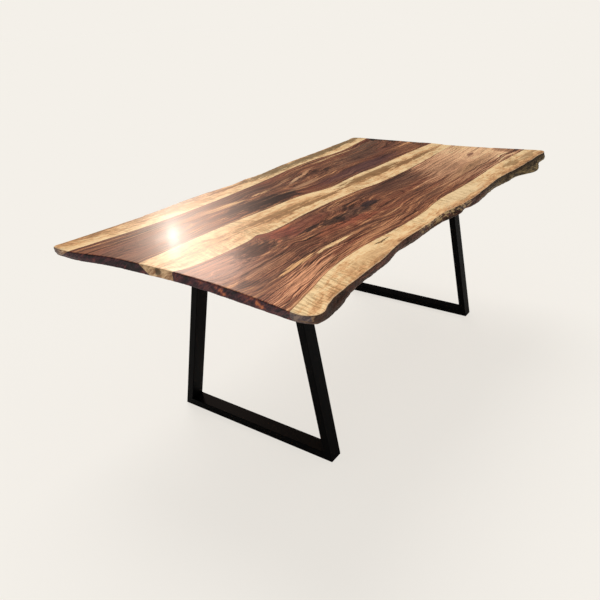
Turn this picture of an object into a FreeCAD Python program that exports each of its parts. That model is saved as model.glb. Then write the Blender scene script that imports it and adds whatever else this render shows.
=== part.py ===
# Live edge dining table: two natural-edge slabs glued side by side, kept flat by three steel
# channels let into the underside, on two welded steel trapezoid frames.
#
# Frame: millimetres, +X along the table towards its far end, +Y across it, +Z up.
# The origin is on the floor under the middle of the top.

import FreeCAD, Part
import math
import os

import Sketcher
from FreeCAD import Placement, Rotation, Vector

# ---------------------------------------------------------------------------------------------
# Driving dimensions: alias, value (millimetres, degrees or a count), what it sets
# ---------------------------------------------------------------------------------------------

DRIVING_DIMENSIONS = [
    ("table_height", 768, "floor to the top face of the slabs"),
    ("top_length", 2144, "overall length of the top"),
    ("top_width", 1120, "overall width of the top, at its widest flares"),
    ("slab_thickness", 32, "thickness of both slabs"),
    ("arris_width", 4, "eased edge all round the top and the underside"),
    ("swell_height", 14, "underside to the middle outline, where the natural edges swell"),
    ("glue_line_near", 55, "glue line's place across the table at the near end"),
    ("glue_line_far", 3, "glue line's place across the table at the far end"),
    ("tenon_spacing", 320, "about one loose tenon to each such stretch of the glue line"),
    ("tenon_length", 50, "loose tenon, across the glue line"),
    ("tenon_width", 22, "loose tenon, along the glue line"),
    ("tenon_thickness", 10, "loose tenon, upright"),
    ("tenon_chamfer", 2, "loose tenon, cut off its long edges"),
    ("mortise_end_gap", 1, "glue space past each end of a tenon"),
    ("channel_setback", 210, "end of the top to the outer channels"),
    ("channel_length", 760, "flattening channel, across the table"),
    ("channel_web", 38, "flattening channel, across its web"),
    ("channel_flange", 13, "flattening channel, height of its flanges"),
    ("channel_wall", 3, "steel of the flattening channel"),
    ("channel_side_gap", 0.5, "groove wall to flange, each side"),
    ("channel_depth_gap", 1, "groove past the flange tips and the channel's ends"),
    ("channel_screw_count", 4, "screws in each channel"),
    ("channel_screw_setback", 60, "channel's end to its first screw"),
    ("channel_slot_length", 14, "screw slot in a channel, end to end"),
    ("channel_slot_width", 7, "screw slot in a channel"),
    ("channel_slot_corner", 2, "screw slot in a channel, cut off each corner"),
    ("screw_radius", 3, "channel screw, shank"),
    ("screw_length", 16, "channel screw, under its head"),
    ("screw_head_radius", 6, "channel screw, head"),
    ("screw_head_height", 3.2, "channel screw, head"),
    ("screw_insert_radius", 5, "threaded insert for a channel screw, outside"),
    ("screw_insert_length", 14, "threaded insert for a channel screw"),
    ("near_frame_setback", 378, "near end of the top to the middle of the near frame"),
    ("far_frame_setback", 458, "far end of the top to the middle of the far frame"),
    ("foot_half_width", 350, "middle of a frame to its outer foot corner"),
    ("leg_lean", 11.07, "lean of the legs from upright, in degrees"),
    ("tube_depth", 60, "frame tube, along the table"),
    ("tube_face", 30, "frame tube, in the plane of the frame"),
    ("tube_wall", 2, "frame tube, steel"),
    ("tube_corner", 3, "frame tube, outer corner radius"),
    ("plate_length", 660, "mounting plate, across the table"),
    ("plate_width", 100, "mounting plate, along the table"),
    ("plate_thickness", 6, "mounting plate, steel"),
    ("plate_corner", 12, "mounting plate, cut off each corner"),
    ("bolt_edge_distance", 15, "mounting plate's long edge to its bolt rows"),
    ("bolt_end_distance", 45, "mounting plate's end to its first bolts"),
    ("bolt_columns", 3, "bolts in each of the two rows of a plate"),
    ("plate_slot_length", 20, "bolt slot in a mounting plate, end to end"),
    ("plate_slot_width", 9, "bolt slot in a mounting plate"),
    ("plate_slot_corner", 2.5, "bolt slot in a mounting plate, cut off each corner"),
    ("bolt_radius", 4, "frame bolt, shank"),
    ("bolt_length", 25, "frame bolt, under its head"),
    ("bolt_head_radius", 7.5, "frame bolt, hexagon head to its corners"),
    ("bolt_head_height", 5, "frame bolt, head"),
    ("washer_radius", 8.5, "washer, outside"),
    ("washer_thickness", 1.6, "washer"),
    ("washer_play", 0.3, "washer bore to bolt shank"),
    ("bolt_insert_radius", 6.3, "threaded insert for a frame bolt, outside"),
    ("bolt_insert_length", 18, "threaded insert for a frame bolt"),
    ("thread_play", 0.05, "shank to insert, where the threads engage"),
    ("drill_allowance", 3, "insert hole past the end of its insert"),
    ("pad_thickness", 3, "foot pad under a foot rail"),
    ("pad_length", 70, "foot pad, along the foot rail"),
    ("pad_width", 42, "foot pad, across the foot rail"),
    ("pad_corner", 8, "foot pad, cut off each corner"),
    ("pad_setback", 14, "outer foot corner to the foot pad"),
]

# ---------------------------------------------------------------------------------------------
# The two slabs' outlines, as they came from the log and the saw
#
# Every point is a place and three set backs: at the top, at mid height and at the underside. On
# a live edge, place is the share of the overall length from the near end, and a set back is how
# far the edge stands inside the overall width, in millimetres. On a sawn end, place is the share
# of the way from the glue line out to the overall width, and a set back is measured from the
# overall length.
# ---------------------------------------------------------------------------------------------

FRONT_NEAR_END = [
    (0.0, 46, 46, 46),
    (0.36, 42, 42, 42),
    (0.64, 25, 25, 27),
    (0.78, 12, 14, 20),
    (0.86, 6, 11, 21),
    (0.91, 16, 20, 32),
]
FRONT_LIVE_EDGE = [
    (0.021, 41, 41, 47),
    (0.039, 50, 44, 45),
    (0.107, 68, 64, 68),
    (0.177, 74, 73, 80),
    (0.219, 78, 76, 81),
    (0.257, 89, 87, 94),
    (0.331, 92, 89, 91),
    (0.387, 91, 94, 91),
    (0.443, 90, 91, 84),
    (0.499, 71, 73, 65),
    (0.574, 66, 61, 62),
    (0.634, 71, 66, 68),
    (0.681, 75, 69, 70),
    (0.742, 70, 60, 56),
    (0.798, 57, 47, 41),
    (0.842, 52, 30, 3),
    (0.863, 50, 27, 0),
    (0.896, 46, 30, 14),
    (0.947, 43, 34, 33),
    (0.979, 38, 31, 31),
]
FRONT_FAR_END = [
    (0.91, 6, 6, 10),
    (0.84, 2, 2, 3),
    (0.70, 15, 15, 15),
    (0.53, 32, 32, 32),
    (0.35, 50, 50, 50),
    (0.17, 61, 61, 61),
    (0.0, 61, 61, 61),
]
REAR_NEAR_END = [
    (0.0, 46, 46, 46),
    (0.21, 41, 41, 41),
    (0.38, 36, 36, 36),
    (0.57, 17, 18, 22),
    (0.73, 1, 4, 11),
    (0.82, 0, 4, 12),
    (0.90, 11, 11, 16),
]
REAR_LIVE_EDGE = [
    (0.0175, 50, 33, 20),
    (0.068, 58, 39, 24),
    (0.133, 65, 46, 33),
    (0.232, 65, 50, 41),
    (0.285, 60, 47, 40),
    (0.363, 64, 53, 47),
    (0.429, 72, 61, 54),
    (0.461, 64, 53, 47),
    (0.495, 68, 55, 48),
    (0.561, 58, 44, 36),
    (0.626, 47, 35, 28),
    (0.692, 42, 28, 20),
    (0.757, 40, 25, 16),
    (0.823, 35, 20, 10),
    (0.889, 29, 14, 5),
    (0.935, 22, 10, 2),
]
REAR_FAR_END = [
    (0.955, 87, 84, 84),
    (0.89, 76, 76, 76),
    (0.70, 72, 72, 72),
    (0.45, 66, 66, 66),
    (0.24, 60, 60, 60),
    (0.15, 54, 54, 54),
    (0.0, 61, 61, 61),
]

doc = FreeCAD.newDocument("live_edge_dining_table")
sheet = doc.addObject("Spreadsheet::Sheet", "Sizes")
for row, (alias, value, meaning) in enumerate(DRIVING_DIMENSIONS, start=1):
    sheet.set(f"A{row}", meaning)
    sheet.set(f"B{row}", str(value))
    sheet.setAlias(f"B{row}", alias)
doc.recompute()


def size(alias):
    """A driving dimension, as the sheet holds it."""
    return float(getattr(sheet, alias))


# ---------------------------------------------------------------------------------------------
# Sketches and features that every machined piece uses
# ---------------------------------------------------------------------------------------------

ROOT_POINT = (-1, 1)
X_AXIS = -1
Y_AXIS = -2
VERTEX = {"start": 1, "end": 2}
ROUND_FLATS = 12
HEXAGON_FLATS = 6
FIRST_FLAT_TURN = 15


def body(name):
    return doc.addObject("PartDesign::Body", name)


def sketch_on(owner, name, role):
    """A sketch on one of the body's own origin planes."""
    sketch = owner.newObject("Sketcher::SketchObject", name)
    plane = next(item for item in owner.Origin.OriginFeatures if item.Role == role)
    sketch.AttachmentSupport = [(plane, "")]
    sketch.MapMode = "FlatFace"
    return sketch


def pin(sketch, geometry, vertex, across, up):
    """Tie a vertex to the sheet: across and up are expressions, or "0" on an axis."""
    for kind, axis, distance in (("DistanceX", Y_AXIS, across), ("DistanceY", X_AXIS, up)):
        if distance == "0":
            sketch.addConstraint(Sketcher.Constraint("PointOnObject", geometry, vertex, axis))
            continue
        drawn = sketch.getPoint(geometry, vertex)
        datum = drawn.x if kind == "DistanceX" else drawn.y
        constraint = Sketcher.Constraint(kind, *ROOT_POINT, geometry, vertex, datum)
        index = sketch.addConstraint(constraint)
        sketch.setExpression(f"Constraints[{index}]", distance)


def add_polygon(sketch, corners):
    """A closed outline through corners, each a pair of expressions."""
    first = sketch.GeometryCount
    count = len(corners)
    ring = [Vector(2 + math.cos(turn), 2 + math.sin(turn), 0)
            for turn in (math.tau * index / count for index in range(count))]
    for index in range(count):
        sketch.addGeometry(Part.LineSegment(ring[index], ring[(index + 1) % count]))
    for index in range(count):
        following = first + (index + 1) % count
        ends = (first + index, VERTEX["end"], following, VERTEX["start"])
        sketch.addConstraint(Sketcher.Constraint("Coincident", *ends))
    for index, (across, up) in enumerate(corners):
        pin(sketch, first + index, VERTEX["start"], across, up)


def add_oblong(sketch, across, up, width, height, corner):
    """A rectangle centred at across and up, with its corners cut off at 45 degrees."""
    left, right = f"({across}) - ({width}) / 2", f"({across}) + ({width}) / 2"
    low, high = f"({up}) - ({height}) / 2", f"({up}) + ({height}) / 2"
    add_polygon(sketch, [
        (f"{left} + {corner}", low),
        (f"{right} - {corner}", low),
        (right, f"{low} + {corner}"),
        (right, f"{high} - {corner}"),
        (f"{right} - {corner}", high),
        (f"{left} + {corner}", high),
        (left, f"{high} - {corner}"),
        (left, f"{low} + {corner}"),
    ])


def add_flats(sketch, flats, radius):
    """A round or hexagonal outline about the origin, drawn with flats; radius is to its corners."""
    turns = [FIRST_FLAT_TURN + 360 * index / flats for index in range(flats)]
    add_polygon(sketch, [(f"({radius}) * cos({turn} deg)", f"({radius}) * sin({turn} deg)")
                         for turn in turns])


def pad(owner, sketch, name, length, side_type="One side", downwards=False):
    feature = owner.newObject("PartDesign::Pad", name)
    feature.Profile = sketch
    feature.SideType = side_type
    feature.Reversed = downwards
    feature.setExpression("Length", length)
    doc.recompute()
    return feature


LEAST_CUT = 1


def pocket(owner, sketch, name, length):
    """A pocket cut to both sides of its sketch, which has to take away at least LEAST_CUT."""
    before = owner.Shape.Volume
    feature = owner.newObject("PartDesign::Pocket", name)
    feature.Profile = sketch
    feature.SideType = "Symmetric"
    feature.setExpression("Length", length)
    doc.recompute()
    if owner.Shape.Volume > before - LEAST_CUT:
        raise RuntimeError(f"{owner.Label}: {name} cuts nothing")
    return feature


def round_edges(owner, base, name, radius, chosen):
    """A fillet on the edges of base that chosen(edge) picks."""
    edges = [f"Edge{index}" for index, edge in enumerate(base.Shape.Edges, start=1) if chosen(edge)]
    feature = owner.newObject("PartDesign::Fillet", name)
    feature.Base = (base, edges)
    feature.setExpression("Radius", radius)
    doc.recompute()
    return feature


def is_along(edge, direction, tolerance=1e-6):
    """True for a straight edge that runs along direction."""
    if not isinstance(edge.Curve, Part.Line):
        return False
    return abs(abs(edge.Curve.Direction.dot(direction)) - 1) < tolerance


def group(label, master, places):
    """One node of identical pieces: copies of the master body, one at each place."""
    node = doc.addObject("Part::Feature", label)
    node.Shape = Part.makeCompound([master.Shape.transformed(place.toMatrix()) for place in places])
    return node


def evenly(first, last, count):
    """Count places spread evenly from first to last."""
    return [first + (last - first) * index / (count - 1) for index in range(count)]


# ---------------------------------------------------------------------------------------------
# Levels and stations that the pieces share
# ---------------------------------------------------------------------------------------------

UNDERSIDE = "(Sizes.table_height - Sizes.slab_thickness)"
PLATE_UNDERSIDE = f"({UNDERSIDE} - Sizes.plate_thickness)"
RAIL_TOP = "(Sizes.pad_thickness + Sizes.tube_face)"

underside = size("table_height") - size("slab_thickness")
plate_underside = underside - size("plate_thickness")
half_length = size("top_length") / 2
half_width = size("top_width") / 2
near_frame = size("near_frame_setback") - half_length
far_frame = half_length - size("far_frame_setback")
outer_channel = half_length - size("channel_setback")
channel_places = {"near": -outer_channel, "middle": 0.0, "far": outer_channel}
frame_places = {"near": near_frame, "far": far_frame}


def glue_line(x):
    """Where the glue line crosses the table at x."""
    share = x / size("top_length") + 0.5
    return size("glue_line_near") + share * (size("glue_line_far") - size("glue_line_near"))


# ---------------------------------------------------------------------------------------------
# Slabs: lofted through five outlines, from the eased underside to the eased top face
# ---------------------------------------------------------------------------------------------


COLUMN = {"top": 1, "middle": 2, "underside": 3}


def slab_points(side, near_end, live_edge, far_end, level):
    """An outline's points from the glue line at the near end round to it at the far end.

    side is -1 for the front slab and 1 for the rear one; level is one of COLUMN's names.
    """
    column = COLUMN[level]
    points = []
    for end, x_side in ((near_end, -1), (far_end, 1)):
        across = []
        for station in end:
            x = x_side * (half_length - station[column])
            y = glue_line(x) + station[0] * (side * half_width - glue_line(x))
            across.append(Vector(x, y, 0))
        points.append(across)
    along = [Vector((station[0] - 0.5) * 2 * half_length, side * (half_width - station[column]), 0)
             for station in live_edge]
    return points[0] + along + points[1]


def moved_in(points, side, distance):
    """The outline's points moved inwards, square to the outline; its ends stay on the glue line."""
    moved = []
    for index, point in enumerate(points):
        if index in (0, len(points) - 1):
            x = point.x - math.copysign(distance, point.x)
            moved.append(Vector(x, glue_line(x), 0))
            continue
        run = (points[index + 1] - points[index - 1]).normalize()
        inwards = Vector(-run.y, run.x, 0) * -side
        moved.append(point + inwards * distance)
    return moved


def slab_outline(points, height, knots):
    lifted = [point + Vector(0, 0, height) for point in points]
    contour = Part.BSplineCurve()
    contour.interpolate(Points=lifted, Parameters=knots)
    return Part.Wire([contour.toShape(), Part.makeLine(lifted[-1], lifted[0])])


def slab_blank(name, side, near_end, live_edge, far_end):
    """The slab before its joints are cut, as a loft through its outlines."""
    top, middle, bottom = [slab_points(side, near_end, live_edge, far_end, level)
                           for level in COLUMN]
    knots = [0.0]
    for last, point in zip(top, top[1:]):
        knots.append(knots[-1] + last.distanceToPoint(point))
    arris = size("arris_width")
    surface = size("table_height")
    levels = [
        (moved_in(bottom, side, arris), underside),
        (bottom, underside + arris),
        (middle, underside + size("swell_height")),
        (top, surface - arris),
        (moved_in(top, side, arris), surface),
    ]
    sections = []
    for index, (points, height) in enumerate(levels, start=1):
        outline = doc.addObject("Part::Feature", f"{name}_outline_{index}")
        outline.Shape = slab_outline(points, height, knots)
        sections.append(outline)
    blank = doc.addObject("Part::Loft", f"{name}_blank")
    blank.Sections = sections
    blank.Solid = True
    blank.Ruled = True
    doc.recompute()
    return blank


# ---------------------------------------------------------------------------------------------
# Glue line: loose tenons in mortises cut half in each slab, between the steel that crosses below
# ---------------------------------------------------------------------------------------------

glue_turn = math.degrees(math.atan2(glue_line(half_length) - glue_line(-half_length),
                                    2 * half_length))
tenon_height = underside + size("slab_thickness") / 2


def tenon_stations():
    """Places along the table: each bay between two crossings has its tenons spread evenly."""
    crossings = sorted([-half_length, *channel_places.values(), *frame_places.values(), half_length])
    stations = []
    for low, high in zip(crossings, crossings[1:]):
        count = max(1, round((high - low) / size("tenon_spacing")))
        stations += evenly(low, high, count + 2)[1:-1]
    return stations


def tenon_body(name, length):
    """A flat tenon with chamfered long edges, lying across the glue line."""
    owner = body(name)
    profile = sketch_on(owner, f"{name}_profile", "XZ_Plane")
    add_oblong(profile, "0", "0", "Sizes.tenon_width", "Sizes.tenon_thickness",
               "Sizes.tenon_chamfer")
    pad(owner, profile, f"{name}_pad", length, side_type="Symmetric")
    return owner


tenon_places = [Placement(Vector(x, glue_line(x), tenon_height), Rotation(Vector(0, 0, 1), glue_turn))
                for x in tenon_stations()]


tenon = tenon_body("tenon_master", "Sizes.tenon_length")
mortise = tenon_body("mortise_master", "Sizes.tenon_length + 2 * Sizes.mortise_end_gap")
group("alignment_tenons", tenon, tenon_places)
mortises = group("mortises", mortise, tenon_places)

# ---------------------------------------------------------------------------------------------
# Fasteners: each one made once, then repeated where it is used
# ---------------------------------------------------------------------------------------------


def upright_bar(name, radius, length):
    """A short round bar, upwards from the local origin."""
    owner = body(name)
    outline = sketch_on(owner, f"{name}_outline", "XY_Plane")
    add_flats(outline, ROUND_FLATS, radius)
    pad(owner, outline, f"{name}_bar", length)
    return owner


def headed_screw(name, shank_radius, length, head_radius, head_height, head_flats):
    """Head down, its seat at the local origin and its shank upwards."""
    owner = upright_bar(name, shank_radius, length)
    outline = sketch_on(owner, f"{name}_head_outline", "XY_Plane")
    add_flats(outline, head_flats, head_radius)
    pad(owner, outline, f"{name}_head", head_height, downwards=True)
    return owner


def ring(name, bore, rim, length):
    owner = body(name)
    outline = sketch_on(owner, f"{name}_outline", "XY_Plane")
    add_flats(outline, ROUND_FLATS, rim)
    add_flats(outline, ROUND_FLATS, bore)
    pad(owner, outline, f"{name}_ring", length)
    return owner


def places_at(spots, height):
    return [Placement(Vector(x, y, height), Rotation()) for x, y in spots]


bolt_reach = size("plate_length") / 2 - size("bolt_end_distance")
bolt_offset = size("plate_width") / 2 - size("bolt_edge_distance")
bolt_columns = evenly(-bolt_reach, bolt_reach, int(size("bolt_columns")))
bolt_spots = {
    end: [(x + row, y) for row in (-bolt_offset, bolt_offset) for y in bolt_columns]
    for end, x in frame_places.items()
}
screw_reach = size("channel_length") / 2 - size("channel_screw_setback")
screw_rows = evenly(-screw_reach, screw_reach, int(size("channel_screw_count")))
screw_spots = [(x, y) for x in channel_places.values() for y in screw_rows]
web_top = underside + size("channel_wall")

bolt = headed_screw("bolt_master", "Sizes.bolt_radius", "Sizes.bolt_length",
                    "Sizes.bolt_head_radius", "Sizes.bolt_head_height", HEXAGON_FLATS)
washer = ring("washer_master", "Sizes.bolt_radius + Sizes.washer_play",
              "Sizes.washer_radius", "Sizes.washer_thickness")
bolt_insert = ring("bolt_insert_master", "Sizes.bolt_radius + Sizes.thread_play",
                   "Sizes.bolt_insert_radius", "Sizes.bolt_insert_length")
bolt_hole = upright_bar("bolt_hole_master", "Sizes.bolt_insert_radius",
                        "Sizes.bolt_insert_length + Sizes.drill_allowance")
screw = headed_screw("screw_master", "Sizes.screw_radius", "Sizes.screw_length",
                     "Sizes.screw_head_radius", "Sizes.screw_head_height", ROUND_FLATS)
screw_insert = ring("screw_insert_master", "Sizes.screw_radius + Sizes.thread_play",
                    "Sizes.screw_insert_radius", "Sizes.screw_insert_length")
screw_hole = upright_bar("screw_hole_master", "Sizes.screw_insert_radius",
                         "Sizes.screw_insert_length + Sizes.drill_allowance")

washer_seat = plate_underside - size("washer_thickness")
for end, spots in bolt_spots.items():
    group(f"{end}_frame_inserts", bolt_insert, places_at(spots, underside))
    group(f"{end}_frame_washers", washer, places_at(spots, washer_seat))
    group(f"{end}_frame_bolts", bolt, places_at(spots, washer_seat))
group("channel_inserts", screw_insert, places_at(screw_spots, web_top))
group("channel_screws", screw, places_at(screw_spots, underside))

all_bolt_spots = bolt_spots["near"] + bolt_spots["far"]
bolt_holes = group("bolt_holes", bolt_hole, places_at(all_bolt_spots, underside))
screw_holes = group("screw_holes", screw_hole, places_at(screw_spots, web_top))

# ---------------------------------------------------------------------------------------------
# Flattening channels: U section let into the underside, flanges up, web flush with the wood
# ---------------------------------------------------------------------------------------------


def channel_section(side_gap, depth_gap, web_depth):
    """Corners of the U section, its web's outer face at the local origin's level."""
    outer = f"(Sizes.channel_web / 2 + {side_gap})"
    inner = f"(Sizes.channel_web / 2 - Sizes.channel_wall - {side_gap})"
    tip = f"(Sizes.channel_flange + {depth_gap})"
    return [
        (f"-{outer}", "0"),
        (outer, "0"),
        (outer, tip),
        (inner, tip),
        (inner, web_depth),
        (f"-{inner}", web_depth),
        (f"-{inner}", tip),
        (f"-{outer}", tip),
    ]


def channel_body(name, corners, length):
    owner = body(name)
    profile = sketch_on(owner, f"{name}_section", "XZ_Plane")
    add_polygon(profile, corners)
    pad(owner, profile, f"{name}_run", length, side_type="Symmetric")
    return owner


def channel_slots(owner):
    """Slots in the web, long across the grain so that the wood can move under the screws."""
    cuts = sketch_on(owner, f"{owner.Name}_slots", "XY_Plane")
    first = "(Sizes.channel_screw_setback - Sizes.channel_length / 2)"
    pitch = "(Sizes.channel_length - 2 * Sizes.channel_screw_setback)"
    gaps = "(Sizes.channel_screw_count - 1)"
    for index in range(int(size("channel_screw_count"))):
        add_oblong(cuts, "0", f"{first} + {index} * {pitch} / {gaps}", "Sizes.channel_slot_width",
                   "Sizes.channel_slot_length", "Sizes.channel_slot_corner")
    pocket(owner, cuts, f"{owner.Name}_slot_cuts", "4 * Sizes.channel_wall")


groove = channel_body("groove_master",
                      channel_section("Sizes.channel_side_gap", "Sizes.channel_depth_gap",
                                      "Sizes.channel_wall"),
                      "Sizes.channel_length + 2 * Sizes.channel_depth_gap")
groove_places = [Placement(Vector(x, 0, underside), Rotation()) for x in channel_places.values()]
grooves = group("grooves", groove, groove_places)

for end, x in channel_places.items():
    channel = channel_body(f"{end}_channel", channel_section("0", "0", "Sizes.channel_wall"),
                           "Sizes.channel_length")
    channel_slots(channel)
    channel.Placement.Base = Vector(x, 0, underside)

# ---------------------------------------------------------------------------------------------
# The slabs with their joints cut: mortises, channel grooves and insert holes
# ---------------------------------------------------------------------------------------------

joinery = doc.addObject("Part::Compound", "top_joinery")
joinery.Links = [mortises, grooves, bolt_holes, screw_holes]
SLABS = {
    "front_slab": (-1, FRONT_NEAR_END, FRONT_LIVE_EDGE, FRONT_FAR_END),
    "rear_slab": (1, REAR_NEAR_END, REAR_LIVE_EDGE, REAR_FAR_END),
}
for name, outline in SLABS.items():
    slab = doc.addObject("Part::Cut", name)
    slab.Base = slab_blank(name, *outline)
    slab.Tool = joinery
doc.recompute()

# ---------------------------------------------------------------------------------------------
# Frames: rectangular tube, mitred at the feet, butted and welded to a mounting plate on top
# ---------------------------------------------------------------------------------------------

LEAN = "(1 deg * Sizes.leg_lean)"
lean = math.radians(size("leg_lean"))
leg_run = Vector(0, -math.sin(lean), math.cos(lean))
OVERRUN = "Sizes.tube_depth"


def leg_line(height, inset):
    """Expression: the leg's face, set in from its outer face, at a height."""
    drop = f"({height} - Sizes.pad_thickness) * tan({LEAN})"
    return f"Sizes.foot_half_width - {drop} - ({inset}) / cos({LEAN})"


def hollow(owner, base, corners, run):
    """Round a tube's outer corners, bore it out and round the bore's corners."""
    rounded = round_edges(owner, base, f"{owner.Name}_corners", "Sizes.tube_corner",
                          lambda edge: is_along(edge, run))
    bore = sketch_on(owner, f"{owner.Name}_bore", "YZ_Plane")
    add_polygon(bore, corners)
    pocket(owner, bore, f"{owner.Name}_hollow", "Sizes.tube_depth - 2 * Sizes.tube_wall")
    return rounded


def leg_body(name):
    """The +Y leg: mitred to the foot rail below, cut level under the mounting plate."""
    owner = body(name)
    face = sketch_on(owner, f"{name}_face", "YZ_Plane")
    add_polygon(face, [
        (leg_line("Sizes.pad_thickness", "0"), "Sizes.pad_thickness"),
        (leg_line(PLATE_UNDERSIDE, "0"), PLATE_UNDERSIDE),
        (leg_line(PLATE_UNDERSIDE, "Sizes.tube_face"), PLATE_UNDERSIDE),
        (leg_line(RAIL_TOP, "Sizes.tube_face"), RAIL_TOP),
    ])
    blank = pad(owner, face, f"{name}_blank", "Sizes.tube_depth", side_type="Symmetric")
    low = f"(Sizes.pad_thickness - {OVERRUN})"
    high = f"({PLATE_UNDERSIDE} + {OVERRUN})"
    far_wall = "Sizes.tube_face - Sizes.tube_wall"
    bore = [
        (leg_line(low, "Sizes.tube_wall"), low),
        (leg_line(high, "Sizes.tube_wall"), high),
        (leg_line(high, far_wall), high),
        (leg_line(low, far_wall), low),
    ]
    hollow(owner, blank, bore, leg_run)
    return owner


def rail_body(name):
    """The foot rail, mitred to both legs."""
    owner = body(name)
    face = sketch_on(owner, f"{name}_face", "YZ_Plane")
    top_corner = leg_line(RAIL_TOP, "Sizes.tube_face")
    add_polygon(face, [
        ("-Sizes.foot_half_width", "Sizes.pad_thickness"),
        ("Sizes.foot_half_width", "Sizes.pad_thickness"),
        (top_corner, RAIL_TOP),
        (f"-({top_corner})", RAIL_TOP),
    ])
    blank = pad(owner, face, f"{name}_blank", "Sizes.tube_depth", side_type="Symmetric")
    reach = f"(Sizes.foot_half_width + {OVERRUN})"
    floor = "(Sizes.pad_thickness + Sizes.tube_wall)"
    ceiling = f"({RAIL_TOP} - Sizes.tube_wall)"
    bore = [(f"-{reach}", floor), (reach, floor), (reach, ceiling), (f"-{reach}", ceiling)]
    hollow(owner, blank, bore, Vector(0, 1, 0))
    return owner


def plate_body(name):
    """The mounting plate, slotted across the grain for its bolts."""
    owner = body(name)
    outline = sketch_on(owner, f"{name}_outline", "XY_Plane")
    add_oblong(outline, "0", "0", "Sizes.plate_width", "Sizes.plate_length", "Sizes.plate_corner")
    pad(owner, outline, f"{name}_blank", "Sizes.plate_thickness")
    cuts = sketch_on(owner, f"{name}_slots", "XY_Plane")
    row = "(Sizes.plate_width / 2 - Sizes.bolt_edge_distance)"
    first = "(Sizes.bolt_end_distance - Sizes.plate_length / 2)"
    pitch = "(Sizes.plate_length - 2 * Sizes.bolt_end_distance) / (Sizes.bolt_columns - 1)"
    for across in (f"-{row}", row):
        for index in range(int(size("bolt_columns"))):
            add_oblong(cuts, across, f"{first} + {index} * {pitch}", "Sizes.plate_slot_width",
                       "Sizes.plate_slot_length", "Sizes.plate_slot_corner")
    pocket(owner, cuts, f"{name}_slot_cuts", "4 * Sizes.plate_thickness")
    return owner


def foot_pad_body(name):
    owner = body(name)
    outline = sketch_on(owner, f"{name}_outline", "XY_Plane")
    add_oblong(outline, "0", "0", "Sizes.pad_width", "Sizes.pad_length", "Sizes.pad_corner")
    pad(owner, outline, f"{name}_blank", "Sizes.pad_thickness")
    return owner


pad_reach = size("foot_half_width") - size("pad_setback") - size("pad_length") / 2
for end, x in frame_places.items():
    plate_body(f"{end}_mounting_plate").Placement.Base = Vector(x, 0, plate_underside)
    rail_body(f"{end}_foot_rail").Placement.Base = Vector(x, 0, 0)
    for side, turn, y_side in (("rear", 0, 1), ("front", 180, -1)):
        leg = leg_body(f"{end}_{side}_leg")
        leg.Placement = Placement(Vector(x, 0, 0), Rotation(Vector(0, 0, 1), turn))
        foot_pad = foot_pad_body(f"{end}_{side}_foot_pad")
        foot_pad.Placement.Base = Vector(x, y_side * pad_reach, 0)
doc.recompute()

# ---------------------------------------------------------------------------------------------
# Nodes: one file for each sub-part
# ---------------------------------------------------------------------------------------------

NODES = ["front_slab", "rear_slab", "alignment_tenons", "channel_inserts", "channel_screws"]
NODES += [f"{end}_channel" for end in channel_places]
for end in frame_places:
    NODES += [f"{end}_mounting_plate", f"{end}_foot_rail"]
    NODES += [f"{end}_{side}_{piece}" for side in ("front", "rear") for piece in ("leg", "foot_pad")]
    NODES += [f"{end}_frame_{piece}" for piece in ("inserts", "washers", "bolts")]

for item in doc.Objects:
    if "Invalid" in item.State or "Error" in item.State:
        raise RuntimeError(f"{item.Label} did not compute: {item.State}")

os.makedirs("parts", exist_ok=True)
for node in NODES:
    shape = doc.getObject(node).Shape
    if shape.isNull() or not shape.isValid() or not shape.Solids:
        raise RuntimeError(f"{node} is not a valid solid")
    shape.exportStep(f"parts/{node}.step")
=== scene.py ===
import math
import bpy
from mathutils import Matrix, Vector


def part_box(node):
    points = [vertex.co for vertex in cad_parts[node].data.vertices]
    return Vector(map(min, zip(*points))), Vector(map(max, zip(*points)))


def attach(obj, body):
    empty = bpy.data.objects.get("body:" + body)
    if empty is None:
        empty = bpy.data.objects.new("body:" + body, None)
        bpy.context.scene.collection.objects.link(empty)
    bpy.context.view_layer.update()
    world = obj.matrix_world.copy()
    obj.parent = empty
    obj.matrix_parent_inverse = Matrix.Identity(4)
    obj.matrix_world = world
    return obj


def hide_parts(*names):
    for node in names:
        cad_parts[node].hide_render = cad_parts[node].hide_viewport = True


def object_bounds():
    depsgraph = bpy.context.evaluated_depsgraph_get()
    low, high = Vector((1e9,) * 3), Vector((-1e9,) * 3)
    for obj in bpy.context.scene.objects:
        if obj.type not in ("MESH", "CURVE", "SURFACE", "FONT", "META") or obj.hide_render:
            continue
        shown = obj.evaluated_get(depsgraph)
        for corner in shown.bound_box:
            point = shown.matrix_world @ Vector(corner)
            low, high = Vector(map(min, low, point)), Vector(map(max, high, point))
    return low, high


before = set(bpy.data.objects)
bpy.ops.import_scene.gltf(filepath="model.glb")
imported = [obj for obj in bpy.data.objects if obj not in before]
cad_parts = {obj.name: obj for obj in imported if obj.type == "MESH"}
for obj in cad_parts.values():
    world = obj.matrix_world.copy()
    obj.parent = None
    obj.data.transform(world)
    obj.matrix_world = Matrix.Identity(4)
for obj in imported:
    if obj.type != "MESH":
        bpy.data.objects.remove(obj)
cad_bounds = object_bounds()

from types import SimpleNamespace

import bmesh
import bpy
from mathutils import Matrix, Vector, noise

scene = bpy.context.scene
scene.view_settings.view_transform = "Standard"

# ---------------------------------------------------------------------------------------------
# Camera: the eye of a person who stands a pace off the near end of the table, a little to the
# front of it, and looks down along the top
# ---------------------------------------------------------------------------------------------

SENSOR_WIDTH_MM = 36.0
PICTURE_WIDTH = 600
FOCAL_LENGTH_IN_PIXELS = 602.68
EYE = (-2.1390, -1.2352, 1.4343)
HEADING = -54.848
LOOK_DOWN = 25.460
HEAD_TILT = -2.149

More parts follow.
